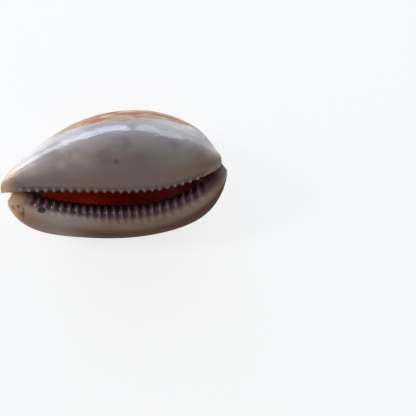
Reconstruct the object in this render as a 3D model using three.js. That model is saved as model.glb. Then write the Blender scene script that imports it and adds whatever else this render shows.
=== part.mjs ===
// A cowrie shell lying on its back, aperture up. Lengths in millimetres.
// The shell is drawn in its own axes first: x towards the posterior end, y towards the outer lip,
// z towards the back. settle() then lays it down with +Z up.
import * as THREE from "three";

// Half lengths from the middle of the shell to each end, for the outer lip, the back and the inner lip.
const ANTERIOR = { outerLip: 23.0, back: 23.1, innerLip: 25.8 };
const POSTERIOR = { outerLip: 24.2, back: 22.0, innerLip: 24.3 };

// The outer lip fans out towards its two ends, so its teeth lean away from the middle.
const FAN = { anterior: -1.6, posterior: 1.3, from: 0.3, to: 0.93 };

// Greatest reach of the whorl from its axis, how blunt it is at each end, and its size at the canals.
const OUTER_SIDE = { reach: 14.9, blunt: [0.382, 0.463], canal: [1.5, 2.5] };
const INNER_SIDE = { reach: 15.25, blunt: [0.572, 0.676], canal: [1.3, 2.75] };
const BACK = { reach: 19.1, blunt: [0.356, 0.585], canal: [1.2, 2.2] };
const BASE = { reach: 5.9, blunt: [0.291, 0.701], canal: [1.5, 2.3] };
const END_REACH = { anterior: 0.99, posterior: 0.997 };

// The axis lifts towards the back at the posterior end and drops at the anterior end.
const AXIS_LIFT = { posterior: 2.7, anterior: -2.3, power: 2.5 };
const AXIS_FOLLOW = 4;

// The aperture: sideways bow along the shell, width between the lips, and roundness of the lips.
const APERTURE_BOW = [2.5, 1.7, -4.95, -1.55];
const APERTURE_WIDTH = { middle: 4.7, ends: 0.25, taper: 0.95 };
const OUTER_LIP = { radius: 2.05, least: 0.4, turn: 2.4, lipWall: 0.75 };
const INNER_LIP = { radius: 2.4, least: 0.45, foldMost: 6.0, foldLeast: 1.0 };
const LIP_CURL = { tight: 1.0, centre: 1.0, spread: 0.85, whorl: 0.38, whorlStart: 1.5, steps: 600 };
const LIP_EASE = { gain: 1.15, limit: 1.02 };

const WALL = { back: 1.5, base: 3.0, fold: 1.5, least: 0.28, rimBulge: 0.12 };

// The teeth on both lips, counted along the aperture.
const TEETH = { count: 24, from: -0.86, to: 0.86, height: 0.42, columns: 3 };

// How it lies: rolled onto the outer-lip side of its back, pitched a little, on a small flat spot.
const REST = { roll: 60, pitch: 4, flatDepth: 0.35 };

const END_ROWS = 7;
const RIM_ANGLES = [30, 60, 90];
const LIP_STATIONS = [-1, -0.8, -0.6, -0.4, -0.2];
const BODY_STATIONS = [0, 0.04, 0.1, 0.18, 0.268, 0.305, 0.342, 0.42, 0.5, 0.58, 0.66, 0.74, 0.82, 0.92, 1];
const FOLD_STATIONS = [1.12, 1.24, 1.4, 1.65, 2];

const radians = THREE.MathUtils.degToRad;
const clamp = THREE.MathUtils.clamp;
const mix = THREE.MathUtils.lerp;
const ease = (from, to, x) => THREE.MathUtils.smoothstep(x, from, to);

// A bell over u in -1..1 that peaks at 1 and falls to 0 at both ends.
function bell(u, [posterior, anterior]) {
  const peak = (anterior - posterior) / (anterior + posterior);
  return ((1 - u) / (1 - peak)) ** posterior * ((1 + u) / (1 + peak)) ** anterior;
}

function reachAt(u, side) {
  const canal = mix(side.canal[1], side.canal[0], ease(-0.6, 0.6, u));
  return canal + (side.reach - canal) * bell(u, side.blunt);
}

// The four reaches of the cross-section at u, and how full it is compared with the widest one.
function sizesAt(u) {
  const outer = reachAt(u, OUTER_SIDE);
  const inner = reachAt(u, INNER_SIDE);
  const fullness = Math.min(1, (outer + inner) / (OUTER_SIDE.reach + INNER_SIDE.reach));
  return { outer, inner, back: reachAt(u, BACK), base: reachAt(u, BASE), fullness };
}

function apertureCentre(u) {
  const [middle, slope, bow, twist] = APERTURE_BOW;
  return middle + slope * u + bow * u * u + twist * u ** 3;
}

function apertureWidth(u) {
  return mix(APERTURE_WIDTH.ends, APERTURE_WIDTH.middle, (1 - u * u) ** APERTURE_WIDTH.taper);
}

function axisAt(u) {
  const lift = u > 0 ? AXIS_LIFT.posterior : AXIS_LIFT.anterior;
  return {
    y: apertureCentre(u) * Math.abs(u) ** AXIS_FOLLOW,
    z: lift * Math.abs(u) ** AXIS_LIFT.power,
  };
}

const outerLipRadius = (fullness) => OUTER_LIP.radius * mix(OUTER_LIP.least, 1, fullness);
const innerLipRadius = (fullness) => INNER_LIP.radius * mix(INNER_LIP.least, 1, fullness);

// The path a lip follows as it rolls into the aperture, for a lip radius of one.
function drawCurl() {
  const step = INNER_LIP.foldMost / LIP_CURL.steps;
  const bend = (length) => LIP_CURL.tight * Math.exp(-(((length - LIP_CURL.centre) / LIP_CURL.spread) ** 2))
    + LIP_CURL.whorl * ease(LIP_CURL.centre, LIP_CURL.centre + LIP_CURL.whorlStart, length);
  const points = [new THREE.Vector2(0, 0)];
  let heading = 0;
  for (let i = 0; i < LIP_CURL.steps; i += 1) {
    const turned = heading + (bend(i * step) + bend((i + 1) * step)) / 2 * step;
    const last = points[i];
    points.push(new THREE.Vector2(
      last.x + (Math.cos(heading) + Math.cos(turned)) / 2 * step,
      last.y + (Math.sin(heading) + Math.sin(turned)) / 2 * step,
    ));
    heading = turned;
  }
  return { points, step };
}

const CURL = drawCurl();
const CURL_REACH = Math.max(...CURL.points.map((point) => point.x));

function curlPoint(length) {
  const place = clamp(length / CURL.step, 0, LIP_CURL.steps);
  const index = Math.min(Math.floor(place), LIP_CURL.steps - 1);
  return CURL.points[index].clone().lerp(CURL.points[index + 1], place - index);
}

// Where the round of the cross-section stops at the outer lip and at the inner lip.
function lipAngles(u, sizes) {
  const middle = (sizes.outer - sizes.inner) / 2;
  const half = (sizes.outer + sizes.inner) / 2;
  const fromAxis = apertureCentre(u) - axisAt(u).y;
  const gap = apertureWidth(u) / 2;
  const outer = fromAxis + gap + outerLipRadius(sizes.fullness) * CURL_REACH;
  const inner = fromAxis - gap - innerLipRadius(sizes.fullness) * CURL_REACH;
  const eased = (y) => Math.acos(Math.tanh((y - middle) / half * LIP_EASE.gain) / LIP_EASE.limit);
  return { outer: -eased(outer), inner: 2 * Math.PI - eased(inner) };
}

function roundPoint(u, sizes, angle) {
  const axis = axisAt(u);
  const sine = Math.sin(angle);
  return new THREE.Vector2(
    axis.y + (sizes.outer - sizes.inner) / 2 + (sizes.outer + sizes.inner) / 2 * Math.cos(angle),
    axis.z + (sizes.back + sizes.base) / 2 * sine + (sizes.back - sizes.base) / 2 * sine * sine,
  );
}

function roundHeading(sizes, angle) {
  const sine = Math.sin(angle);
  const cosine = Math.cos(angle);
  const rise = (sizes.back + sizes.base) / 2 * cosine + (sizes.back - sizes.base) * sine * cosine;
  return Math.atan2(rise, -(sizes.outer + sizes.inner) / 2 * sine);
}

// Distance along the shell: the lips reach further than the back, so the canals open as notches.
function alongShell(u, w) {
  const around = clamp(w, 0, 1);
  const nearOuter = 1 - ease(0.08, 0.4, around);
  const nearInner = ease(0.62, 1.02, around);
  const length = (half) => half.back + (half.outerLip - half.back) * nearOuter
    + (half.innerLip - half.back) * nearInner;
  const fan = ease(-1, 0.1, w) * (1 - ease(0.12, 0.45, w)) * ease(FAN.from, FAN.to, Math.abs(u));
  return u * mix(length(ANTERIOR), length(POSTERIOR), ease(-0.6, 0.6, u))
    + fan * (u < 0 ? FAN.anterior : FAN.posterior);
}

// The outside of the shell. w runs from -1 (inside the outer lip) over 0..1 (the body) to 2 (the fold).
function outside(u, w) {
  const sizes = sizesAt(u);
  const angles = lipAngles(u, sizes);
  const around = clamp(w, 0, 1);
  const spot = roundPoint(u, sizes, mix(angles.outer, angles.inner, around));
  if (w > 1) {
    const fold = mix(INNER_LIP.foldLeast, INNER_LIP.foldMost, ease(0.4, 0.95, sizes.fullness));
    const curl = curlPoint((w - 1) * fold).multiplyScalar(innerLipRadius(sizes.fullness));
    spot.add(curl.rotateAround(new THREE.Vector2(), roundHeading(sizes, angles.inner)));
  }
  if (w < 0) {
    const curl = curlPoint(-w * OUTER_LIP.turn).multiplyScalar(outerLipRadius(sizes.fullness));
    curl.y = -curl.y;
    spot.add(curl.rotateAround(new THREE.Vector2(), roundHeading(sizes, angles.outer) + Math.PI));
  }
  return new THREE.Vector3(alongShell(u, w), spot.x, spot.y);
}

function outwardAt(u, w) {
  const alongStep = 1e-4;
  const aroundStep = 2e-3;
  const along = outside(u + alongStep, w).sub(outside(u - alongStep, w));
  const around = outside(u, w + aroundStep).sub(outside(u, w - aroundStep));
  return around.cross(along).normalize();
}

function wallAt(u, w) {
  const overBack = 0.5 - 0.5 * Math.cos(2 * Math.PI * clamp(w, 0, 1));
  const body = mix(WALL.base, WALL.back, Math.sqrt(overBack));
  return mix(body, WALL.fold, ease(0.8, 1.15, w)) * mix(WALL.least, 1, sizesAt(u).fullness);
}

// The inside of the shell, one wall thickness in. Under the outer lip it runs on straight.
function inside(u, w) {
  const body = Math.max(w, 0);
  const spot = outside(u, body).addScaledVector(outwardAt(u, Math.max(w, 0.004)), -wallAt(u, body));
  if (w < 0) {
    const sizes = sizesAt(u);
    const heading = roundHeading(sizes, lipAngles(u, sizes).outer) + Math.PI;
    const run = -w * outerLipRadius(sizes.fullness) * (CURL_REACH - OUTER_LIP.lipWall);
    spot.y += run * Math.cos(heading);
    spot.z += run * Math.sin(heading);
  }
  return spot;
}

// How far a tooth stands out at this place. The teeth fade away from the aperture on both lips.
function toothHeight(u, w, crest) {
  const onOuterLip = ease(-1.3, -0.9, w) * (1 - ease(-0.3, 0.03, w));
  const onInnerLip = ease(0.98, 1.08, w) * (1 - ease(1.2, 1.4, w));
  const ends = ease(TEETH.from - 0.03, TEETH.from + 0.1, u) * (1 - ease(TEETH.to - 0.1, TEETH.to + 0.03, u));
  return crest * TEETH.height * ends * (onOuterLip + 0.8 * onInnerLip);
}

// Places along the shell: close together towards the canals, three to a tooth in between.
function alongStations() {
  const stations = [];
  const quarter = (i) => Math.PI / 2 * i / END_ROWS;
  for (let i = 0; i < END_ROWS; i += 1) {
    stations.push({ u: TEETH.from - (END_REACH.anterior + TEETH.from) * Math.cos(quarter(i)), crest: 0 });
  }
  const columns = TEETH.count * TEETH.columns;
  for (let i = 0; i <= columns; i += 1) {
    stations.push({ u: mix(TEETH.from, TEETH.to, i / columns), crest: i % TEETH.columns === 0 ? 0 : 1 });
  }
  for (let i = 1; i <= END_ROWS; i += 1) {
    stations.push({ u: TEETH.to + (END_REACH.posterior - TEETH.to) * Math.sin(quarter(i)), crest: 0 });
  }
  return stations;
}

function aroundStations() {
  return [...LIP_STATIONS, ...BODY_STATIONS, ...FOLD_STATIONS];
}

// A unit vector along direction with its part along across taken out.
function squareTo(direction, across) {
  const unit = across.clone().normalize();
  return direction.clone().addScaledVector(unit, -direction.dot(unit)).normalize();
}

// The wall at one place: its middle, the half-thickness out to the outside, and the tooth on it.
function wallSection({ u, crest }, w) {
  const out = outside(u, w);
  const inn = inside(u, w);
  const tooth = outwardAt(u, clamp(w, -0.995, 1.995)).multiplyScalar(toothHeight(u, w, crest));
  return {
    middle: out.clone().add(inn).multiplyScalar(0.5),
    half: out.clone().sub(inn).multiplyScalar(0.5),
    out,
    tooth,
  };
}

// One closed loop of points: outside, round the fold's edge, back along the inside, round the outer lip.
function loopAt(row, rim, rimDirections) {
  const cosine = Math.cos(rim);
  const sine = Math.sin(rim);
  const last = row.length - 1;
  const shifted = (index) => {
    const section = row[index];
    const bulge = section.half.length() * WALL.rimBulge * sine;
    return rimDirections ? section.middle.clone().addScaledVector(rimDirections[index], bulge)
      : section.middle.clone();
  };
  const edge = (index, neighbour) => {
    const section = row[index];
    const direction = squareTo(section.out.clone().sub(row[neighbour].out), section.half);
    return shifted(index).addScaledVector(direction, section.half.length() * cosine);
  };
  const outer = row.map((section, index) => shifted(index).addScaledVector(section.half, cosine)
    .addScaledVector(section.tooth, cosine));
  const inner = row.map((section, index) => shifted(index).addScaledVector(section.half, -cosine));
  return [...outer, edge(last, last - 1), ...inner.reverse(), edge(0, 1)];
}

function shellLoops() {
  const around = aroundStations();
  const rows = alongStations().map((station) => around.map((w) => wallSection(station, w)));
  const rimFrom = (end, neighbour) => end.map((section, index) => (
    squareTo(section.out.clone().sub(neighbour[index].out), section.half)));
  const count = rows.length;
  const anterior = rimFrom(rows[0], rows[1]);
  const posterior = rimFrom(rows[count - 1], rows[count - 2]);
  const loops = rows.map((row) => loopAt(row, 0, null));
  const anteriorRim = RIM_ANGLES.map((angle) => loopAt(rows[0], radians(angle), anterior));
  const posteriorRim = RIM_ANGLES.map((angle) => loopAt(rows[count - 1], radians(angle), posterior));
  return [...anteriorRim.reverse(), ...loops, ...posteriorRim];
}

// Lays the shell down: its up direction becomes +Z and its length stays along X.
function settle(loops) {
  const roll = radians(REST.roll);
  const pitch = radians(REST.pitch);
  const level = Math.cos(pitch);
  const up = new THREE.Vector3(Math.sin(pitch), -Math.sin(roll) * level, -Math.cos(roll) * level);
  const along = squareTo(new THREE.Vector3(1, 0, 0), up);
  const aside = new THREE.Vector3().crossVectors(up, along);
  const placed = loops.map((loop) => loop.map((point) => (
    new THREE.Vector3(point.dot(along), point.dot(aside), point.dot(up)))));
  const lowest = Math.min(...placed.flat().map((point) => point.z));
  placed.flat().forEach((point) => {
    point.z = Math.max(point.z, lowest + REST.flatDepth);
  });
  const box = new THREE.Box3().setFromPoints(placed.flat());
  const centre = box.getCenter(new THREE.Vector3());
  const origin = new THREE.Vector3(centre.x, centre.y, box.min.z);
  placed.flat().forEach((point) => point.sub(origin));
  return placed;
}

// Joins the loops into one closed skin, leaving out triangles that have shrunk to nothing.
function skin(loops) {
  const positions = [];
  const seen = new Map();
  const index = loops.map((loop) => loop.map((point) => {
    const rounded = point.toArray().map((value) => Number(value.toFixed(4)) + 0);
    const key = rounded.join(" ");
    if (!seen.has(key)) {
      seen.set(key, positions.length / 3);
      positions.push(...rounded);
    }
    return seen.get(key);
  }));
  const triangles = [];
  const addTriangle = (a, b, c) => {
    if (a !== b && b !== c && c !== a) {
      triangles.push(a, b, c);
    }
  };
  for (let row = 0; row + 1 < index.length; row += 1) {
    const size = index[row].length;
    for (let column = 0; column < size; column += 1) {
      const next = (column + 1) % size;
      addTriangle(index[row][column], index[row][next], index[row + 1][next]);
      addTriangle(index[row][column], index[row + 1][next], index[row + 1][column]);
    }
  }
  const geometry = new THREE.BufferGeometry();
  geometry.setAttribute("position", new THREE.Float32BufferAttribute(positions, 3));
  geometry.setIndex(triangles);
  geometry.computeVertexNormals();
  return geometry;
}

const glossyShell = new THREE.MeshStandardMaterial({ color: 0xcfc4b2, roughness: 0.22, metalness: 0 });
const shell = new THREE.Mesh(skin(settle(shellLoops())), glossyShell);
shell.name = "shell";

const group = new THREE.Group();
group.name = "cowrie_shell";
group.add(shell);

export default group;
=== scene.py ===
"""A glossy cowrie shell lying on its back on a pale floor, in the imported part's frame.

The shell is one closed wall. It is drawn in its own axes in millimetres, with x towards the
posterior end, y towards the outer lip and z towards the back, and then laid down in metres.
"""

import logging
import math
from dataclasses import dataclass, field
from enum import Enum

import bpy
import numpy as np
from mathutils import Matrix, Vector


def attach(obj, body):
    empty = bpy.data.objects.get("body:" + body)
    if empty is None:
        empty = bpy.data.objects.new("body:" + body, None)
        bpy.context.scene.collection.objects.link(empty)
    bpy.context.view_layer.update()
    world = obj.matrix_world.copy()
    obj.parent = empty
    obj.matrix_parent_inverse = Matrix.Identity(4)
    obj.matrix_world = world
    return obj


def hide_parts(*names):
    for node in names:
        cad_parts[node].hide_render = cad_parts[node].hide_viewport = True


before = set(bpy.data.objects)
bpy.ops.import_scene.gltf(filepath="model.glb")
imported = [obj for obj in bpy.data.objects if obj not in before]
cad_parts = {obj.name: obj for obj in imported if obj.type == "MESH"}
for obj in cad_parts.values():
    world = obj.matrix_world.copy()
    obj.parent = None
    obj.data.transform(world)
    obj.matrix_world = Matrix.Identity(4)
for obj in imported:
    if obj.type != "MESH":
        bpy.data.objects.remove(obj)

MM = 0.001
FULL_CHANNEL = 255
DISPLAY_GAMMA = 2.2
TINY = 1e-9
# The stretch along the shell over which the anterior end's measures turn into the posterior end's.
ACROSS_MIDDLE = (-0.6, 0.6)
# Sockets of a colour mix node, which have the same names as its sockets for plain values.
MIX_UNDER = 6
MIX_OVER = 7
MIX_RESULT = 2
log = logging.getLogger("cowrie")

Colour = tuple[float, float, float, float]
Triple = tuple[float, float, float]
Span = tuple[float, float]
Stops = tuple[tuple[float, Colour], ...]
Array = np.ndarray
Socket = bpy.types.NodeSocket

WHITE: Colour = (1.0, 1.0, 1.0, 1.0)
DAYLIGHT: Colour = (0.68, 0.81, 1.0, 1.0)
SKYLIGHT: Colour = (0.93, 0.96, 1.0, 1.0)


def srgb(red: int, green: int, blue: int) -> Colour:
    """A display colour, 0 to 255 a channel, as a linear colour for a shader.

    Args:
        red: red channel.
        green: green channel.
        blue: blue channel.

    Returns:
        The linear colour with alpha 1.
    """
    return tuple((channel / FULL_CHANNEL) ** DISPLAY_GAMMA for channel in (red, green, blue)) + (1.0,)


def ease(low: float, high: float, value: Array) -> Array:
    """A smooth step from 0 at low to 1 at high."""
    part = np.clip((value - low) / (high - low), 0, 1)
    return part * part * (3 - 2 * part)


def mix(first: Array, second: Array, part: Array) -> Array:
    """A straight blend from first to second."""
    return first + (second - first) * part


def unit(vectors: Array) -> Array:
    """Vectors scaled to length one."""
    return vectors / np.maximum(np.linalg.norm(vectors, axis=-1, keepdims=True), TINY)


def square_to(direction: Array, across: Array) -> Array:
    """Unit vectors along direction, with their part along across taken out."""
    line = unit(across)
    return unit(direction - (direction * line).sum(-1, keepdims=True) * line)


@dataclass(frozen=True)
class HalfLengths:
    """Distances in mm from the middle of the shell to one end."""

    outer_lip: float
    back: float
    inner_lip: float
    outer_span: Span = (0.08, 0.4)
    inner_span: Span = (0.62, 1.02)

    def at(self, around: Array) -> Array:
        """The half length at each place around the body.

        Args:
            around: 0 at the outer lip to 1 at the inner lip.

        Returns:
            Half lengths in mm.
        """
        near_outer = 1 - ease(*self.outer_span, around)
        near_inner = ease(*self.inner_span, around)
        extra = (self.outer_lip - self.back) * near_outer
        return self.back + extra + (self.inner_lip - self.back) * near_inner


@dataclass(frozen=True)
class Reach:
    """How far one side of the whorl stands from its axis, in mm, along the shell."""

    full: float
    blunt: tuple[float, float]
    canal: tuple[float, float]

    def at(self, along: Array) -> Array:
        """The reach at each place along the shell.

        Args:
            along: -1 at the anterior end to 1 at the posterior end.

        Returns:
            Reaches in mm.
        """
        posterior, anterior = self.blunt
        peak = (anterior - posterior) / (anterior + posterior)
        left, right = (1 - along) / (1 - peak), (1 + along) / (1 + peak)
        canal = mix(self.canal[1], self.canal[0], ease(*ACROSS_MIDDLE, along))
        return canal + (self.full - canal) * left**posterior * right**anterior


@dataclass(frozen=True)
class LipCurl:
    """The path a lip follows as it rolls into the aperture, for a lip radius of one."""

    length: float = 6.0
    centre: float = 1.0
    spread: float = 0.85
    whorl: float = 0.38
    whorl_start: float = 1.5
    steps: int = 600

    def path(self) -> tuple[Array, Array, Array]:
        """The path, from the edge of the body inwards.

        Returns:
            Lengths along the path and the two coordinates of each point.
        """
        lengths = np.linspace(0, self.length, self.steps + 1)
        bend = np.exp(-(((lengths - self.centre) / self.spread) ** 2))
        bend += self.whorl * ease(self.centre, self.centre + self.whorl_start, lengths)
        heading = self.running_sum(bend, lengths[1])
        across = self.running_sum(np.cos(heading), lengths[1])
        return lengths, across, self.running_sum(np.sin(heading), lengths[1])

    @staticmethod
    def running_sum(values: Array, step: float) -> Array:
        """The integral of values from the start to each point."""
        return np.concatenate([[0], np.cumsum((values[1:] + values[:-1]) / 2 * step)])


@dataclass(frozen=True)
class Teeth:
    """The ridges across both lips, counted along the aperture."""

    count: int = 24
    start: float = -0.86
    stop: float = 0.86
    height: float = 0.42
    inner_share: float = 0.8
    groove_edge: float = 0.12
    crest_edge: float = 0.46
    outer_rise: Span = (-1.3, -0.9)
    outer_fall: Span = (-0.3, 0.03)
    inner_rise: Span = (1.02, 1.1)
    inner_fall: Span = (1.2, 1.4)
    fade_outside: float = 0.03
    fade_inside: float = 0.1

    def crest(self, along: Array) -> Array:
        """How near each place is to a ridge's top.

        Args:
            along: places along the shell.

        Returns:
            0 in a groove to 1 on a crest.
        """
        turn = (along - self.start) / (self.stop - self.start) * self.count
        phase = turn - np.floor(turn)
        near = np.minimum(phase, 1 - phase)
        return ease(self.groove_edge, self.crest_edge, near)

    def outer_zone(self, around: Array) -> Array:
        """1 where the outer lip's ridges stand, fading out on the base."""
        return ease(*self.outer_rise, around) * (1 - ease(*self.outer_fall, around))

    def inner_zone(self, around: Array) -> Array:
        """1 where the inner lip's ridges stand."""
        return ease(*self.inner_rise, around) * (1 - ease(*self.inner_fall, around))

    def ends(self, along: Array) -> Array:
        """1 along the aperture, fading towards the two canals."""
        start = ease(self.start - self.fade_outside, self.start + self.fade_inside, along)
        return start * (1 - ease(self.stop - self.fade_inside, self.stop + self.fade_outside, along))


@dataclass(frozen=True)
class Whorl:
    """The shell's last whorl: a wall round an egg-shaped hollow, open along the aperture."""

    anterior: HalfLengths = HalfLengths(23.0, 23.1, 25.8)
    posterior: HalfLengths = HalfLengths(24.2, 22.0, 24.3)
    fan: tuple[float, float] = (-1.6, 1.3)
    outer_side: Reach = Reach(14.9, (0.382, 0.463), (1.5, 2.5))
    inner_side: Reach = Reach(15.25, (0.572, 0.676), (1.3, 2.75))
    back: Reach = Reach(19.1, (0.356, 0.585), (1.2, 2.2))
    base: Reach = Reach(5.9, (0.291, 0.701), (1.5, 2.3))
    ends: tuple[float, float] = (-0.99, 0.997)
    axis_lift: tuple[float, float] = (-2.3, 2.7)
    aperture_bow: tuple[float, float, float, float] = (2.5, 1.7, -4.95, -1.55)
    aperture_width: tuple[float, float] = (0.25, 4.7)
    outer_lip_radius: float = 2.05
    inner_lip_radius: float = 2.4
    outer_lip_turn: float = 2.4
    outer_lip_wall: float = 0.75
    fold: tuple[float, float] = (1.0, 6.0)
    wall_back: float = 1.5
    wall_base: float = 3.0
    wall_fold: float = 1.5
    curl: LipCurl = LipCurl()
    sway_power: int = 4
    lift_power: float = 2.5
    end_lip_shares: Span = (0.4, 0.45)
    aperture_taper: float = 0.95
    turn_rate: float = 1.15
    turn_limit: float = 1.02
    fan_rise: Span = (-1, 0.1)
    fan_fall: Span = (0.12, 0.45)
    fan_along: Span = (0.3, 0.93)
    fold_fullness: Span = (0.4, 0.95)
    wall_edge: Span = (0.8, 1.15)
    end_wall_share: float = 0.28
    body_start: float = 0.004
    normal_steps: Span = (1e-4, 2e-3)

    def aperture_centre(self, along: Array) -> Array:
        """The aperture's middle line, sideways from the shell's middle, in mm."""
        middle, slope, bow, twist = self.aperture_bow
        return middle + slope * along + bow * along**2 + twist * along**3

    def axis(self, along: Array) -> tuple[Array, Array]:
        """Where the whorl's axis runs, sideways and up, in mm."""
        lift = np.where(along > 0, self.axis_lift[1], self.axis_lift[0])
        return self.aperture_centre(along) * along**self.sway_power, lift * np.abs(along) ** self.lift_power

    def fullness(self, along: Array) -> Array:
        """The section's width.

        Args:
            along: places along the shell.

        Returns:
            Widths as shares of the widest section's.
        """
        widest = self.outer_side.full + self.inner_side.full
        width = self.outer_side.at(along) + self.inner_side.at(along)
        return np.clip(width / widest, 0, 1)

    def lip_radii(self, along: Array) -> tuple[Array, Array]:
        """The radii of both lips.

        Args:
            along: places along the shell.

        Returns:
            The outer lip's and the inner lip's radii in mm.
        """
        full = self.fullness(along)
        outer = self.outer_lip_radius * mix(self.end_lip_shares[0], 1, full)
        return outer, self.inner_lip_radius * mix(self.end_lip_shares[1], 1, full)

    def lip_angles(self, along: Array) -> tuple[Array, Array]:
        """The angles at which the round of the section stops at each lip.

        Args:
            along: places along the shell.

        Returns:
            Angles at the outer lip and at the inner lip, in radians.
        """
        outer_side, inner_side = self.outer_side.at(along), self.inner_side.at(along)
        middle, half = (outer_side - inner_side) / 2, (outer_side + inner_side) / 2
        taper = (1 - along**2) ** self.aperture_taper
        gap = mix(self.aperture_width[0], self.aperture_width[1], taper) / 2
        from_axis = self.aperture_centre(along) - self.axis(along)[0]
        reach = self.curl.path()[1].max()
        outer_radius, inner_radius = self.lip_radii(along)
        angles = []
        for place in (from_axis + gap + outer_radius * reach, from_axis - gap - inner_radius * reach):
            share = np.tanh((place - middle) / half * self.turn_rate)
            angles.append(np.arccos(share / self.turn_limit))
        return -angles[0], 2 * np.pi - angles[1]

    def section(self, along: Array, angle: Array) -> tuple[Array, Array]:
        """Points on the round of the section.

        Args:
            along: places along the shell.
            angle: angles round the section, in radians.

        Returns:
            Distances sideways and up, in mm.
        """
        outer_side, inner_side = self.outer_side.at(along), self.inner_side.at(along)
        back, base = self.back.at(along), self.base.at(along)
        axis_y, axis_z = self.axis(along)
        sine = np.sin(angle)
        across = (outer_side - inner_side) / 2 + (outer_side + inner_side) / 2 * np.cos(angle)
        return axis_y + across, axis_z + (back + base) / 2 * sine + (back - base) / 2 * sine**2

    def heading(self, along: Array, angle: Array) -> Array:
        """The direction in which the round of the section runs.

        Args:
            along: places along the shell.
            angle: angles round the section, in radians.

        Returns:
            Directions in radians.
        """
        width = self.outer_side.at(along) + self.inner_side.at(along)
        back, base = self.back.at(along), self.base.at(along)
        rise = (back + base) / 2 * np.cos(angle) + (back - base) * np.sin(angle) * np.cos(angle)
        return np.arctan2(rise, -width / 2 * np.sin(angle))

    def outside(self, along: Array, around: Array) -> Array:
        """Points on the outside of the wall.

        Args:
            along: -1 at the anterior end to 1 at the posterior end.
            around: -1 inside the outer lip, 0 to 1 over the body, 2 at the end of the fold.

        Returns:
            Points in mm.
        """
        body = np.clip(around, 0, 1)
        outer_angle, inner_angle = self.lip_angles(along)
        y, z = self.section(along, mix(outer_angle, inner_angle, body))
        lengths, run, rise = self.curl.path()
        outer_radius, inner_radius = self.lip_radii(along)
        fold = mix(self.fold[0], self.fold[1], ease(*self.fold_fullness, self.fullness(along)))
        place = np.clip(around - 1, 0, 1) * fold
        step, lift = np.interp(place, lengths, run), np.interp(place, lengths, rise)
        turn, size = self.heading(along, inner_angle), inner_radius * (around > 1)
        y = y + size * (step * np.cos(turn) - lift * np.sin(turn))
        z = z + size * (step * np.sin(turn) + lift * np.cos(turn))
        place = np.clip(-around, 0, 1) * self.outer_lip_turn
        step, lift = np.interp(place, lengths, run), np.interp(place, lengths, rise)
        turn, size = self.heading(along, outer_angle) + np.pi, outer_radius * (around < 0)
        y = y + size * (step * np.cos(turn) + lift * np.sin(turn))
        z = z + size * (step * np.sin(turn) - lift * np.cos(turn))
        return np.stack([self.along_shell(along, around), y, z], -1)

    def along_shell(self, along: Array, around: Array) -> Array:
        """Distances along the shell, with the outer lip fanned out towards its ends.

        Args:
            along: as for outside.
            around: as for outside.

        Returns:
            Distances in mm.
        """
        body = np.clip(around, 0, 1)
        half = mix(self.anterior.at(body), self.posterior.at(body), ease(*ACROSS_MIDDLE, along))
        fan = ease(*self.fan_rise, around) * (1 - ease(*self.fan_fall, around))
        fan = fan * ease(*self.fan_along, np.abs(along))
        return along * half + fan * np.where(along < 0, self.fan[0], self.fan[1])

    def outward(self, along: Array, around: Array) -> Array:
        """Unit normals of the outside.

        Args:
            along: as for outside.
            around: as for outside.

        Returns:
            Unit vectors that point away from the wall.
        """
        long_step, round_step = self.normal_steps
        lengthwise = self.outside(along + long_step, around) - self.outside(along - long_step, around)
        crosswise = self.outside(along, around + round_step) - self.outside(along, around - round_step)
        return unit(np.cross(crosswise, lengthwise))

    def wall(self, along: Array, around: Array) -> Array:
        """The wall's thickness.

        Args:
            along: as for outside.
            around: as for outside.

        Returns:
            Thicknesses in mm.
        """
        over_back = 0.5 - 0.5 * np.cos(2 * np.pi * np.clip(around, 0, 1))
        body = mix(self.wall_base, self.wall_back, np.sqrt(over_back))
        thin = mix(self.end_wall_share, 1, self.fullness(along))
        return mix(body, self.wall_fold, ease(*self.wall_edge, around)) * thin

    def inside(self, along: Array, around: Array) -> Array:
        """Points on the inside of the wall, facing those on the outside.

        Args:
            along: as for outside.
            around: as for outside.

        Returns:
            Points in mm.
        """
        body = np.maximum(around, 0)
        normal = self.outward(along, np.maximum(around, self.body_start))
        points = self.outside(along, body) - normal * self.wall(along, body)[..., None]
        turn = self.heading(along, self.lip_angles(along)[0]) + np.pi
        reach = self.curl.path()[1].max() - self.outer_lip_wall
        run = self.lip_radii(along)[0] * reach * np.clip(-around, 0, 1)
        points[..., 1] += run * np.cos(turn)
        points[..., 2] += run * np.sin(turn)
        return points


@dataclass(frozen=True)
class RestPose:
    """How the shell lies: rolled onto the outer-lip side of its back, on a small flat spot."""

    roll: float = 60.0
    pitch: float = 4.0
    flat_depth: float = 0.35

    def axes(self) -> Array:
        """The resting frame's axes.

        Returns:
            Three unit vectors as rows, in the shell's own frame.
        """
        roll, pitch = math.radians(self.roll), math.radians(self.pitch)
        level = math.cos(pitch)
        up = np.array([math.sin(pitch), -math.sin(roll) * level, -math.cos(roll) * level])
        along = square_to(np.array([1.0, 0, 0]), up)
        return np.array([along, np.cross(up, along), up])


class SurfaceMap(Enum):
    """The values that the mesh carries at each point, for the finish to read."""

    ALONG = "along"
    AROUND = "around"
    HOLLOW = "hollow"
    RIDGE = "ridge"
    GAP = "gap"


@dataclass(frozen=True)
class Skin:
    """One closed skin of points in rows of loops, with a value of each surface map at each point."""

    points: Array
    maps: dict[SurfaceMap, Array]

    def faces(self) -> Array:
        """Quads between neighbouring loops.

        Returns:
            Four point numbers for each quad.
        """
        rows, size = self.points.shape[:2]
        column = np.arange(size)
        following = (column + 1) % size
        first = (np.arange(rows - 1) * size)[:, None]
        corners = (first + column, first + following, first + following + size, first + column + size)
        return np.stack(corners, -1).reshape(-1, 4)


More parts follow.
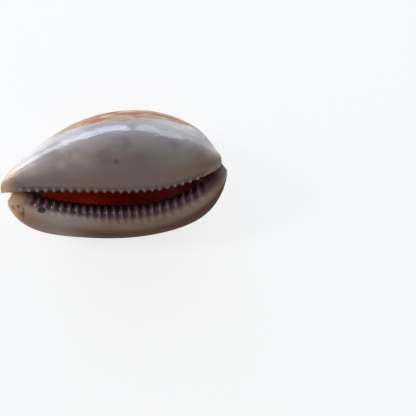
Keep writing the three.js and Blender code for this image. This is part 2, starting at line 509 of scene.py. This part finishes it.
@dataclass
class CowrieShell:
    """The whole shell, one piece."""

    whorl: Whorl = Whorl()
    teeth: Teeth = Teeth()
    rest: RestPose = RestPose()
    columns_per_tooth: int = 12
    end_rows: int = 22
    rim_rows: int = 5
    cap_points: int = 5
    rim_bulge: float = 0.12
    around_spans: tuple[tuple[float, float, int], ...] = (
        (-1, 0.12, 30),
        (0.12, 0.94, 46),
        (0.94, 1.3, 20),
        (1.3, 2, 14),
    )
    normal_range: Span = (-0.995, 1.995)
    hollow_lip: Span = (-1.04, -0.97)
    hollow_fold: Span = (1.22, 1.45)
    hollow_end: Span = (0.86, 0.96)
    shift: Array = field(default_factory=lambda: np.zeros(3))

    def along_stations(self) -> Array:
        """Places along the shell, closer together towards the canals.

        Returns:
            Places from the anterior end to the posterior end.
        """
        teeth, (first, last) = self.teeth, self.whorl.ends
        quarter = np.linspace(0, np.pi / 2, self.end_rows + 1)
        anterior = teeth.start + (first - teeth.start) * np.cos(quarter[:-1])
        middle = np.linspace(teeth.start, teeth.stop, teeth.count * self.columns_per_tooth + 1)
        posterior = teeth.stop + (last - teeth.stop) * np.sin(quarter[1:])
        return np.concatenate([anterior, middle, posterior])

    def around_stations(self) -> Array:
        """Places round the section, closer together over the lips."""
        spans = [np.linspace(*span) for span in self.around_spans]
        return np.concatenate([*(span[:-1] for span in spans[:-1]), spans[-1]])

    def grow(self) -> Skin:
        """Draws the wall: outside, the fold's edge, inside and the outer lip's edge, with rounded ends.

        Returns:
            The skin in the shell's own frame, in mm.
        """
        along, around = np.meshgrid(self.along_stations(), self.around_stations(), indexing="ij")
        outside = self.whorl.outside(along, around)
        inside = self.whorl.inside(along, around)
        zone = self.teeth.outer_zone(around) + self.teeth.inner_share * self.teeth.inner_zone(around)
        ridge = self.teeth.height * self.teeth.crest(along) * zone * self.teeth.ends(along)
        ridge = ridge[..., None] * self.whorl.outward(along, np.clip(around, *self.normal_range))
        middle, half = (outside + inside) / 2, (outside - inside) / 2
        lip_way = square_to(outside[:, 0] - outside[:, 1], half[:, 0])
        fold_way = square_to(outside[:, -1] - outside[:, -2], half[:, -1])
        anterior_way = square_to(outside[0] - outside[1], half[0])
        posterior_way = square_to(outside[-1] - outside[-2], half[-1])
        edge_angles = np.linspace(0, np.pi, self.cap_points + 2)[1:-1]

        def loop(row: int, rim: float, way: Array) -> Array:
            """The closed loop of one row.

            Args:
                row: the row's number.
                rim: how far round the end's rim the loop lies, in radians.
                way: the way the end faces, at each place of the row.

            Returns:
                The loop's points.
            """
            thick = np.linalg.norm(half[row], axis=-1, keepdims=True)
            centre = middle[row] + way * thick * self.rim_bulge * math.sin(rim)
            narrowed = math.cos(rim)
            reach = half[row] * narrowed
            fold_out = fold_way[row] * thick[-1] * narrowed
            lip_out = lip_way[row] * thick[0] * narrowed
            fold = [
                centre[-1] + reach[-1] * math.cos(angle) + fold_out * math.sin(angle)
                for angle in edge_angles
            ]
            lip = [
                centre[0] - reach[0] * math.cos(angle) + lip_out * math.sin(angle)
                for angle in edge_angles
            ]
            outer = centre + reach + ridge[row] * narrowed
            return np.concatenate([outer, fold, (centre - reach)[::-1], lip])

        rims = np.linspace(0, np.pi / 2, self.rim_rows + 1)[1:]
        rows = [loop(0, rim, anterior_way) for rim in rims[::-1]]
        rows += [loop(row, 0.0, posterior_way) for row in range(len(along))]
        rows += [loop(-1, rim, posterior_way) for rim in rims]
        return Skin(np.array(rows), self.surface_maps(along, around))

    def surface_maps(self, along: Array, around: Array) -> dict[SurfaceMap, Array]:
        """The maps that the finish reads, one value for each point of each loop.

        Args:
            along: places along the shell, by row and column.
            around: places round the section, by row and column.

        Returns:
            Map names and values.
        """
        caps = self.cap_points

        def looped(outer: Array, inner: Array) -> Array:
            """Joins an outside and an inside map into loops, with both edges and the rims.

            Args:
                outer: the outside's values, by row and column.
                inner: the inside's values, by row and column.

            Returns:
                Values for each point of each loop.
            """
            fold = np.repeat(outer[:, -1:], caps, axis=1)
            lip = np.repeat(outer[:, :1], caps, axis=1)
            rows = np.concatenate([outer, fold, inner[:, ::-1], lip], axis=1)
            first, last = [rows[:1]] * self.rim_rows, [rows[-1:]] * self.rim_rows
            return np.concatenate([*first, rows, *last])

        none, ends, crest = np.zeros_like(along), self.teeth.ends(along), self.teeth.crest(along)
        hollow = 1 - ease(*self.hollow_lip, around) + ease(*self.hollow_fold, around)
        deep = 1 - ease(*self.hollow_end, np.abs(along))
        return {
            SurfaceMap.ALONG: looped(along, along),
            SurfaceMap.AROUND: looped(around, around),
            SurfaceMap.HOLLOW: looped(hollow * deep, deep),
            SurfaceMap.RIDGE: looped(crest * ends, none),
            SurfaceMap.GAP: looped((1 - crest) * ends, none),
        }

    def lay_down(self, points: Array) -> Array:
        """Puts points of the shell's own frame, in mm, into the part's frame, in metres.

        Args:
            points: points in mm.

        Returns:
            Points in metres, resting on the flat spot.
        """
        placed = points @ self.rest.axes().T
        lowest = placed[..., 2].min() + self.rest.flat_depth
        placed[..., 2] = np.maximum(placed[..., 2], lowest)
        low = placed.reshape(-1, 3).min(0)
        high = placed.reshape(-1, 3).max(0)
        self.shift = np.array([(low[0] + high[0]) / 2, (low[1] + high[1]) / 2, low[2]])
        return (placed - self.shift) * MM

    def heart(self) -> Vector:
        """The origin of the shell's own frame, in the part's frame, once the shell lies down."""
        return Vector(-self.shift * MM)

    def build(self) -> bpy.types.Object:
        """Makes the mesh object with its surface maps and smooth shading.

        Returns:
            The shell object.
        """
        skin = self.grow()
        points = self.lay_down(skin.points).reshape(-1, 3)
        mesh = bpy.data.meshes.new("cowrie_shell")
        mesh.from_pydata(points.tolist(), [], skin.faces().tolist())
        for surface_map, values in skin.maps.items():
            layer = mesh.attributes.new(surface_map.value, "FLOAT", "POINT")
            layer.data.foreach_set("value", values.astype(np.float32).ravel())
        mesh.shade_smooth()
        shell = bpy.data.objects.new("cowrie_shell", mesh)
        bpy.context.collection.objects.link(shell)
        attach(shell, "root")
        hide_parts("shell")
        return shell


@dataclass(frozen=True)
class Tone:
    """A colour that is laid over others, and how strongly."""

    colour: Colour
    strength: float


class NodeBench:
    """A material's node tree, with short ways to add the nodes a finish needs."""

    def __init__(self, name: str) -> None:
        """Starts an empty material.

        Args:
            name: the material's name.
        """
        self.material = bpy.data.materials.new(name)
        self.material.use_nodes = True
        self.tree = self.material.node_tree
        self.shader = self.tree.nodes["Principled BSDF"]

    def add(self, kind: str, **settings: object) -> bpy.types.Node:
        """Adds a node and sets its properties.

        Args:
            kind: the node's type.
            settings: names and values of its properties.

        Returns:
            The node.
        """
        node = self.tree.nodes.new(kind)
        for name, value in settings.items():
            setattr(node, name, value)
        return node

    def feed(self, socket: Socket, value: object) -> None:
        """Links an input to an output, or sets a plain value on it.

        Args:
            socket: the input.
            value: another node's output, or a plain value.
        """
        if isinstance(value, bpy.types.NodeSocket):
            self.tree.links.new(value, socket)
        else:
            socket.default_value = value

    def map(self, surface_map: SurfaceMap) -> Socket:
        """One of the mesh's surface maps."""
        return self.add("ShaderNodeAttribute", attribute_name=surface_map.value).outputs["Fac"]

    def maths(self, operation: str, first: object, second: object = 0.0) -> Socket:
        """Adds a maths node.

        Args:
            operation: what it does.
            first: its first value.
            second: its second value.

        Returns:
            The result.
        """
        node = self.add("ShaderNodeMath", operation=operation)
        self.feed(node.inputs[0], first)
        self.feed(node.inputs[1], second)
        return node.outputs[0]

    def step(self, value: object, low: float, high: float) -> Socket:
        """A smooth step from 0 at low to 1 at high, or falling if high is less than low.

        Args:
            value: the value to step on.
            low: where the step is 0.
            high: where the step is 1.

        Returns:
            The step.
        """
        node = self.add("ShaderNodeMapRange", interpolation_type="SMOOTHSTEP")
        self.feed(node.inputs["Value"], value)
        node.inputs["From Min"].default_value = low
        node.inputs["From Max"].default_value = high
        return node.outputs[0]

    def noise(self, scale: float, stretch: Triple = (1, 1, 1), detail: float = 4.0) -> Socket:
        """Cloudy noise over the object.

        Args:
            scale: how fine it is.
            stretch: how much finer along each axis.
            detail: how many layers it has.

        Returns:
            The noise, from 0 to 1.
        """
        place = self.add("ShaderNodeTexCoord").outputs["Object"]
        mapping = self.add("ShaderNodeMapping")
        self.feed(mapping.inputs["Vector"], place)
        mapping.inputs["Scale"].default_value = stretch
        node = self.add("ShaderNodeTexNoise")
        self.feed(node.inputs["Vector"], mapping.outputs[0])
        node.inputs["Scale"].default_value = scale
        node.inputs["Detail"].default_value = detail
        return node.outputs["Fac"]

    def lay(self, under: object, over: object, amount: object) -> Socket:
        """Lays one colour over another.

        Args:
            under: the colour below.
            over: the colour on top.
            amount: how much of the top one shows.

        Returns:
            The colour.
        """
        node = self.add("ShaderNodeMix", data_type="RGBA", blend_type="MIX")
        self.feed(node.inputs["Factor"], amount)
        self.feed(node.inputs[MIX_UNDER], under)
        self.feed(node.inputs[MIX_OVER], over)
        return node.outputs[MIX_RESULT]

    def tint(self, under: object, tone: Tone, *shares: object) -> Socket:
        """Lays a tone over a colour, where all the shares are high."""
        return self.lay(under, tone.colour, self.times(*shares, tone.strength))

    def ramp(self, value: object, stops: Stops) -> Socket:
        """Adds a colour ramp.

        Args:
            value: the place on the ramp.
            stops: places and colours.

        Returns:
            The colour.
        """
        node = self.add("ShaderNodeValToRGB")
        elements = node.color_ramp.elements
        while len(elements) < len(stops):
            elements.new(0.5)
        for element, (position, colour) in zip(elements, stops):
            element.position = position
            element.color = colour
        self.feed(node.inputs[0], value)
        return node.outputs["Color"]

    def times(self, *values: object) -> Socket:
        """Multiplies values.

        Args:
            values: the values.

        Returns:
            Their product.
        """
        product = values[0]
        for value in values[1:]:
            product = self.maths("MULTIPLY", product, value)
        return product

    def between(self, value: object, rise: Span, fall: Span) -> Socket:
        """1 between a rise and a fall of a value, easing to 0 outside them."""
        return self.maths("MULTIPLY", self.step(value, *rise), self.step(value, fall[1], fall[0]))


@dataclass(frozen=True)
class Stain:
    """A small stain on the shell: where it is, how far it reaches and how strong it is."""

    along: float
    around: float
    length: float
    width: float
    colour: Colour
    strength: float = 1.0
    softness: float = 0.6
    grain: float = 700.0
    edge: float = 1.5

    def amount(self, bench: NodeBench) -> Socket:
        """How much of the stain shows at each place.

        Args:
            bench: the material's node bench.

        Returns:
            0 off the stain to its strength on it.
        """
        off_along = bench.maths("SUBTRACT", bench.map(SurfaceMap.ALONG), self.along)
        lengthwise = bench.maths("DIVIDE", off_along, self.length)
        off_around = bench.maths("SUBTRACT", bench.map(SurfaceMap.AROUND), self.around)
        crosswise = bench.maths("DIVIDE", off_around, self.width)
        squares = bench.maths("ADD", bench.times(lengthwise, lengthwise), bench.times(crosswise, crosswise))
        ragged = bench.maths("ADD", bench.maths("SQRT", squares), bench.noise(self.grain, detail=1.0))
        return bench.times(bench.step(ragged, self.edge, self.edge - self.softness), self.strength)


@dataclass(frozen=True)
class Clouds:
    """Soft patches from stretched noise, and the values between which they come up."""

    scale: float
    stretch: Triple
    edge: Span
    detail: float = 4.0

    def amount(self, bench: NodeBench) -> Socket:
        """How much of the patches shows at each place."""
        return bench.step(bench.noise(self.scale, self.stretch, self.detail), *self.edge)


@dataclass(frozen=True)
class Relief:
    """Fine relief of the surface, from stretched noise."""

    strength: float
    depth: float
    scale: float
    stretch: Triple
    detail: float

    def bump(self, bench: NodeBench) -> bpy.types.Node:
        """Adds the bump node.

        Args:
            bench: the material's node bench.

        Returns:
            The node, with its strength and depth set.
        """
        node = bench.add("ShaderNodeBump")
        node.inputs["Strength"].default_value = self.strength
        node.inputs["Distance"].default_value = self.depth
        return node

    def height(self, bench: NodeBench) -> Socket:
        """How high the relief is at each place."""
        return bench.noise(self.scale, self.stretch, self.detail)


@dataclass(frozen=True)
class Zones:
    """Where each part of the finish starts and stops.

    Zones run round the section, and those with along in their name run along the shell. A
    span's first number is where a part is absent and its second is where it is full, except
    that a fall's numbers are in the order they come.
    """

    callus: Span = (0.3, 0.5)
    # Where the pale grey tone with its painted highlight lies on the callus.
    pale_tone_and_highlight: Span = (0.9, 0.82)
    lip_side: Span = (0.885, 0.99)
    # Where the dark brown of the lower margin, partly painted shade, rises and falls.
    margin_rise: Span = (0.0, 0.06)
    margin_fall: Span = (0.22, 0.4)
    margin_fade_along: Span = (-0.15, -0.6)
    back_rise: Span = (0.2, 0.32)
    back_fall: Span = (0.728, 0.744)
    back_rise_along: Span = (-0.75, -0.4)
    back_fall_along: Span = (0.88, 0.99)
    bands_rise_along: Span = (-0.5, -0.1)
    bands_fall_along: Span = (0.5, 0.85)
    beak_along: Span = (-0.86, -0.97)
    near_slit: Span = (-0.2, -0.46)
    canal_rise_along: Span = (0.62, 0.78)
    canal_fall_along: Span = (0.9, 0.97)
    outer_ridge: Span = (-0.15, -0.4)
    outer_gap: Span = (-0.2, -0.5)
    outer_side: Span = (0.5, 0.3)
    inner_gap: Span = (1.0, 1.09)
    slit_edge: Span = (-0.5, -0.86)
    slit_edge_along: Span = (0.99, 0.9)
    dull_rise: Span = (-0.04, 0.06)
    dull_fall: Span = (0.3, 0.5)
    dull_inner_lip: Span = (0.84, 0.95)
    dull_end: Span = (0.9, 0.8)
    dull_end_along: Span = (0.72, 0.9)
    waves: Span = (0.86, 0.78)


@dataclass(frozen=True)
class Enamel:
    """The shell's natural polished enamel, with its colours and stains, and some painted highlight, glow
    and shade laid into its colours.
    """

    # Pale at both ends partly as painted light: the first stops for light falling from the left, the last
    # stops for a painted highlight at the posterior end.
    callus: Stops = (
        (0.0, srgb(255, 228, 190)),
        (0.1, srgb(252, 238, 226)),
        (0.25, srgb(200, 185, 171)),
        (0.36, srgb(166, 150, 141)),
        (0.46, srgb(132, 114, 110)),
        (0.62, srgb(118, 102, 98)),
        (0.81, srgb(146, 138, 128)),
        (0.92, srgb(150, 138, 126)),
        (1.0, srgb(206, 198, 188)),
    )
    outer_lip: Stops = (
        (0.0, srgb(196, 146, 104)),
        (0.1, srgb(164, 132, 112)),
        (0.22, srgb(162, 145, 130)),
        (0.45, srgb(116, 82, 54)),
        (0.7, srgb(106, 77, 54)),
        (0.87, srgb(122, 98, 78)),
        (0.96, srgb(110, 84, 62)),
        (1.0, srgb(140, 128, 118)),
    )
    # The inside's own orange red, with a painted glow of light shining through the thin wall, brightest
    # towards the anterior end.
    hollow: Stops = (
        (0.0, srgb(150, 112, 84)),
        (0.11, srgb(96, 50, 34)),
        (0.15, srgb(236, 90, 16)),
        (0.22, srgb(252, 92, 4)),
        (0.48, srgb(196, 26, 6)),
        (0.6, srgb(176, 26, 8)),
        (0.8, srgb(206, 104, 84)),
        (0.9, srgb(150, 62, 48)),
        (1.0, srgb(70, 34, 32)),
    )
    # A pale grey tone on the callus towards the back: partly the callus's own colour, partly a painted
    # highlight.
    pale_tone_and_highlight: Tone = Tone(srgb(182, 174, 176), 0.5)
    callus_shade: Tone = Tone(srgb(104, 90, 94), 0.5)
    lip_shade: Tone = Tone(srgb(104, 90, 94), 0.22)
    lip_side: Tone = Tone(srgb(108, 72, 48), 0.85)
    # Dark brown along the lower margin: partly the edge's own brown, partly painted shade of the side
    # facing away from the lights.
    margin: Tone = Tone(srgb(80, 44, 2), 0.95)
    margin_fade: float = 0.8
    back_ground: Colour = srgb(180, 150, 122)
    back_pale: Tone = Tone(srgb(206, 186, 160), 0.7)
    blotch: Tone = Tone(srgb(160, 78, 64), 0.8)
    beak: Tone = Tone(srgb(232, 188, 146), 0.7)
    canal: Tone = Tone(srgb(86, 42, 58), 0.9)
    lips: Tone = Tone(srgb(86, 42, 58), 0.92)
    tooth: Tone = Tone(srgb(128, 92, 104), 0.7)
    groove: Colour = srgb(38, 8, 18)
    slit_edge: Tone = Tone(srgb(20, 3, 8), 0.88)
    stains: tuple[Stain, ...] = (
        Stain(0.01, 0.91, 0.036, 0.015, srgb(84, 50, 38), 0.8, 1.0),
        Stain(-0.7, -0.2, 0.04, 0.2, srgb(16, 6, 10), 1.0, 0.4),
        Stain(-0.94, 0.03, 0.03, 0.05, srgb(104, 70, 46), 0.7, 1.0),
        Stain(-0.895, -0.05, 0.026, 0.13, srgb(78, 46, 30), 0.85, 0.9),
        Stain(-0.85, -0.02, 0.022, 0.1, srgb(54, 32, 22), 0.9, 0.9),
        Stain(-0.86, 0.045, 0.026, 0.04, srgb(70, 46, 34), 0.7, 1.0),
    )
    zones: Zones = Zones()
    callus_clouds: Clouds = Clouds(150.0, (0.7, 1, 1), (0.42, 0.62))
    lip_clouds: Clouds = Clouds(140.0, (0.7, 1, 1), (0.42, 0.66))
    cream_clouds: Clouds = Clouds(150.0, (1, 0.6, 0.6), (0.45, 0.6))
    red_clouds: Clouds = Clouds(300.0, (0.6, 1, 1), (0.44, 0.58), 6.0)
    ragged_scale: float = 240.0
    ragged_share: float = 0.05
    ridge_top: Span = (0.35, 1.0)
    outer_gap_share: float = 0.85
    end_dullness: float = 0.8
    lip_dullness: float = 0.7
    polished: float = 0.2
    dull_extra: float = 0.6
    coat_roughness: float = 0.07
    waves: Relief = Relief(0.5, 0.0005, 420.0, (0.35, 1, 1), 2.0)
    grain: Relief = Relief(0.35, 0.0001, 2200.0, (0.5, 1, 1), 3.0)

    def callus_colour(self, bench: NodeBench) -> Socket:
        """The callus over the inner side: pale at the anterior end and again at the posterior end, purplish
        grey in the middle, with a pale grey tone towards the back. The pale ends and the pale tone are
        partly painted light: light from the left at the anterior end, a painted highlight at the posterior
        end and in the pale tone.

        Args:
            bench: the material's node bench.

        Returns:
            The colour.
        """
        around = bench.map(SurfaceMap.AROUND)
        colour = bench.ramp(self.share_along(bench), self.callus)
        # Pale grey tone towards the back, partly a painted highlight.
        colour = bench.tint(colour, self.pale_tone_and_highlight, bench.step(around, *self.zones.pale_tone_and_highlight))
        colour = bench.tint(colour, self.lip_side, bench.step(around, *self.zones.lip_side))
        return bench.tint(colour, self.callus_shade, self.callus_clouds.amount(bench))

    def share_along(self, bench: NodeBench) -> Socket:
        """Places along the shell as a share of its length."""
        return bench.maths("MULTIPLY", bench.maths("ADD", bench.map(SurfaceMap.ALONG), 1.0), 0.5)

    def over_back(self, bench: NodeBench) -> Socket:
        """Where the back is bare.

        Args:
            bench: the material's node bench.

        Returns:
            1 on the bare back, 0 where the callus covers it.
        """
        zones = self.zones
        along = bench.map(SurfaceMap.ALONG)
        ragged = bench.times(bench.noise(self.ragged_scale), self.ragged_share)
        around = bench.maths("ADD", bench.map(SurfaceMap.AROUND), ragged)
        sides = bench.between(around, zones.back_rise, zones.back_fall)
        return bench.times(sides, bench.between(along, zones.back_rise_along, zones.back_fall_along))

    def back_colour(self, bench: NodeBench) -> Socket:
        """The back: tan and cream, with broken reddish bands.

        Args:
            bench: the material's node bench.

        Returns:
            The colour.
        """
        zones = self.zones
        colour = bench.tint(self.back_ground, self.back_pale, self.cream_clouds.amount(bench))
        patchy = self.red_clouds.amount(bench)
        along = bench.map(SurfaceMap.ALONG)
        middle = bench.between(along, zones.bands_rise_along, zones.bands_fall_along)
        return bench.tint(colour, self.blotch, patchy, middle)

    def body(self, bench: NodeBench) -> Socket:
        """The outside's colour before the teeth and the hollow.

        Args:
            bench: the material's node bench.

        Returns:
            The colour.
        """
        zones = self.zones
        around = bench.map(SurfaceMap.AROUND)
        outer = bench.ramp(self.share_along(bench), self.outer_lip)
        outer = bench.tint(outer, self.lip_shade, self.lip_clouds.amount(bench))
        colour = bench.lay(outer, self.callus_colour(bench), bench.step(around, *zones.callus))
        # Dark brown along the lower margin, partly painted shade, fading towards the anterior end.
        edge = bench.between(around, zones.margin_rise, zones.margin_fall)
        faded = bench.step(bench.map(SurfaceMap.ALONG), *zones.margin_fade_along)
        brown = bench.maths("SUBTRACT", 1.0, bench.times(faded, self.margin_fade))
        colour = bench.tint(colour, self.margin, edge, brown)
        return bench.lay(colour, self.back_colour(bench), self.over_back(bench))

    def marks(self, bench: NodeBench, colour: Socket) -> Socket:
        """Adds the tan beak at the anterior end and the small stains.

        Args:
            bench: the material's node bench.
            colour: the colour below.

        Returns:
            The colour with the marks.
        """
        tips = bench.step(bench.map(SurfaceMap.ALONG), *self.zones.beak_along)
        colour = bench.tint(colour, self.beak, tips)
        for stain in self.stains:
            colour = bench.lay(colour, stain.colour, stain.amount(bench))
        return colour

    def teeth_colour(self, bench: NodeBench, colour: Socket) -> Socket:
        """Darkens the lips to purple towards the aperture, with paler ridges on the outer lip.

        Args:
            bench: the material's node bench.
            colour: the colour below.

        Returns:
            The colour with the lips.
        """
        zones = self.zones
        around = bench.map(SurfaceMap.AROUND)
        ridge = bench.map(SurfaceMap.RIDGE)
        gap = bench.map(SurfaceMap.GAP)
        toothed = bench.maths("ADD", ridge, gap)
        near_slit = bench.step(around, *zones.near_slit)
        along = bench.map(SurfaceMap.ALONG)
        canal = bench.between(along, zones.canal_rise_along, zones.canal_fall_along)
        colour = bench.tint(colour, self.canal, near_slit, canal)
        colour = bench.tint(colour, self.lips, near_slit, toothed)
        thin = bench.step(ridge, *self.ridge_top)
        colour = bench.tint(colour, self.tooth, thin, bench.step(around, *zones.outer_ridge))
        outer_zone = bench.step(around, *zones.outer_gap)
        outer_gap = bench.times(outer_zone, bench.step(around, *zones.outer_side), self.outer_gap_share)
        inner_gap = bench.step(around, *zones.inner_gap)
        dark = bench.times(gap, bench.maths("ADD", outer_gap, inner_gap))
        colour = bench.lay(colour, self.groove, dark)
        edge = bench.step(around, *zones.slit_edge)
        edge = bench.times(edge, bench.step(bench.map(SurfaceMap.ALONG), *zones.slit_edge_along))
        return bench.tint(colour, self.slit_edge, edge, toothed)

    def dullness(self, bench: NodeBench) -> Socket:
        """How dull the surface is.

        Args:
            bench: the material's node bench.

        Returns:
            0 on the polished callus to 1 on the back and the margin.
        """
        zones = self.zones
        around = bench.map(SurfaceMap.AROUND)
        along = bench.map(SurfaceMap.ALONG)
        margin = bench.between(around, zones.dull_rise, zones.dull_fall)
        inner_lip = bench.step(around, *zones.dull_inner_lip)
        lips = bench.maths("ADD", inner_lip, bench.step(around, *zones.outer_side))
        end = bench.step(along, *zones.dull_end_along)
        end = bench.times(end, bench.step(around, *zones.dull_end), self.end_dullness)
        worn = bench.maths("MAXIMUM", self.over_back(bench), bench.maths("MAXIMUM", margin, end))
        return bench.maths("MAXIMUM", worn, bench.times(lips, self.lip_dullness))

    def dress(self, shell: bpy.types.Object) -> None:
        """Gives the shell its finish.

        Args:
            shell: the shell object.
        """
        bench = NodeBench("polished enamel")
        colour = self.marks(bench, self.teeth_colour(bench, self.body(bench)))
        # The inside's colour, partly a painted glow of light through the wall.
        depth = bench.ramp(self.share_along(bench), self.hollow)
        colour = bench.lay(colour, depth, bench.map(SurfaceMap.HOLLOW))
        shader = bench.shader
        bench.feed(shader.inputs["Base Color"], colour)
        dull = self.dullness(bench)
        roughness = bench.maths("ADD", self.polished, bench.times(dull, dull, self.dull_extra))
        bench.feed(shader.inputs["Roughness"], roughness)
        bench.feed(shader.inputs["Coat Weight"], bench.maths("SUBTRACT", 1.0, dull))
        shader.inputs["Coat Roughness"].default_value = self.coat_roughness
        waves = self.waves.bump(bench)
        upper = bench.step(bench.map(SurfaceMap.AROUND), *self.zones.waves)
        bench.feed(waves.inputs["Height"], bench.times(self.waves.height(bench), upper))
        grain = self.grain.bump(bench)
        bench.feed(grain.inputs["Height"], self.grain.height(bench))
        bench.feed(grain.inputs["Normal"], waves.outputs[0])
        bench.feed(shader.inputs["Normal"], grain.outputs[0])
        bench.feed(shader.inputs["Coat Normal"], grain.outputs[0])
        shell.data.materials.append(bench.material)


@dataclass(frozen=True)
class SoftLight:
    """A soft rectangular light that faces the shell, in metres and watts."""

    name: str
    place: Triple
    size: Span
    power: float
    colour: Colour

    def hang(self) -> None:
        """Makes the light and turns it towards the shell."""
        data = bpy.data.lights.new(self.name, "AREA")
        data.shape = "RECTANGLE"
        data.size, data.size_y = self.size
        data.energy = self.power
        data.color = self.colour[:3]
        light = bpy.data.objects.new(self.name, data)
        light.location = self.place
        light.rotation_euler = (-Vector(self.place)).to_track_quat("-Z", "Y").to_euler()
        bpy.context.collection.objects.link(light)


@dataclass
class Studio:
    """A plain pale floor, soft lights and the camera."""

    floor_size: float = 3.0
    floor_colour: Colour = srgb(137, 137, 137)
    floor_roughness: float = 0.9
    floor_glow: float = 0.76
    surround: float = 0.42
    lights: tuple[SoftLight, ...] = (
        SoftLight("window", (-0.36, 0.62, 0.17), (1.0, 0.32), 4.1, DAYLIGHT),
        SoftLight("far window", (0.3, 0.57, 0.17), (0.42, 0.32), 1.05, DAYLIGHT),
        SoftLight("lamp", (-0.80, 0.10, 0.60), (0.22, 0.16), 2.4, WHITE),
    )
    azimuth: float = -13.7
    elevation: float = 68.5
    roll: float = 9.5
    lens: float = 150.0
    field_width: float = 0.0940
    aim_right: float = 0.0209
    aim_up: float = -0.0059
    clip: Span = (0.01, 20.0)

    def lay_floor(self) -> bpy.types.Object:
        """Makes the floor.

        Returns:
            The floor object.
        """
        half = self.floor_size / 2
        corners = [(-half, -half, 0), (half, -half, 0), (half, half, 0), (-half, half, 0)]
        mesh = bpy.data.meshes.new("floor")
        mesh.from_pydata(corners, [], [(0, 1, 2, 3)])
        floor = bpy.data.objects.new("floor", mesh)
        bpy.context.collection.objects.link(floor)
        bench = NodeBench("pale paper")
        bench.shader.inputs["Base Color"].default_value = self.floor_colour
        bench.shader.inputs["Roughness"].default_value = self.floor_roughness
        bench.shader.inputs["Emission Color"].default_value = WHITE
        bench.shader.inputs["Emission Strength"].default_value = self.floor_glow
        mesh.materials.append(bench.material)
        return floor

    def light(self) -> None:
        """Sets the surround and hangs the lights."""
        world = bpy.data.worlds.new("surround")
        world.use_nodes = True
        background = world.node_tree.nodes["Background"]
        background.inputs["Color"].default_value = SKYLIGHT
        background.inputs["Strength"].default_value = self.surround
        bpy.context.scene.world = world
        for soft_light in self.lights:
            soft_light.hang()

    def place_camera(self, heart: Vector) -> None:
        """Makes the camera, looking down on the shell.

        Args:
            heart: the shell's middle, in metres.
        """
        azimuth, elevation = math.radians(self.azimuth), math.radians(self.elevation)
        level = math.cos(elevation)
        back = Vector((math.sin(azimuth) * level, -math.cos(azimuth) * level, math.sin(elevation)))
        right = Vector((0, 0, 1)).cross(back).normalized()
        right = Matrix.Rotation(math.radians(self.roll), 3, back) @ right
        up = back.cross(right)
        data = bpy.data.cameras.new("camera")
        data.lens = self.lens
        camera = bpy.data.objects.new("camera", data)
        distance = self.lens / data.sensor_width * self.field_width
        camera.location = heart + back * distance
        aim = heart + right * self.aim_right + up * self.aim_up
        axis = (camera.location - aim).normalized()
        side = up.cross(axis).normalized()
        camera.rotation_euler = Matrix((side, axis.cross(side), axis)).transposed().to_euler()
        data.clip_start, data.clip_end = self.clip
        bpy.context.collection.objects.link(camera)
        bpy.context.scene.camera = camera


def main() -> None:
    """Builds the shell and the studio."""
    logging.basicConfig(level=logging.INFO, format="%(message)s")
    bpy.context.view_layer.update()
    cowrie = CowrieShell()
    shell = cowrie.build()
    Enamel().dress(shell)
    log.info("shell: %d points, %d faces", len(shell.data.vertices), len(shell.data.polygons))
    studio = Studio()
    studio.lay_floor()
    studio.light()
    studio.place_camera(cowrie.heart())
    bpy.context.scene.view_settings.view_transform = "Standard"
    log.info("studio: floor, surround, lights and camera")


if __name__ == "__main__":
    main()
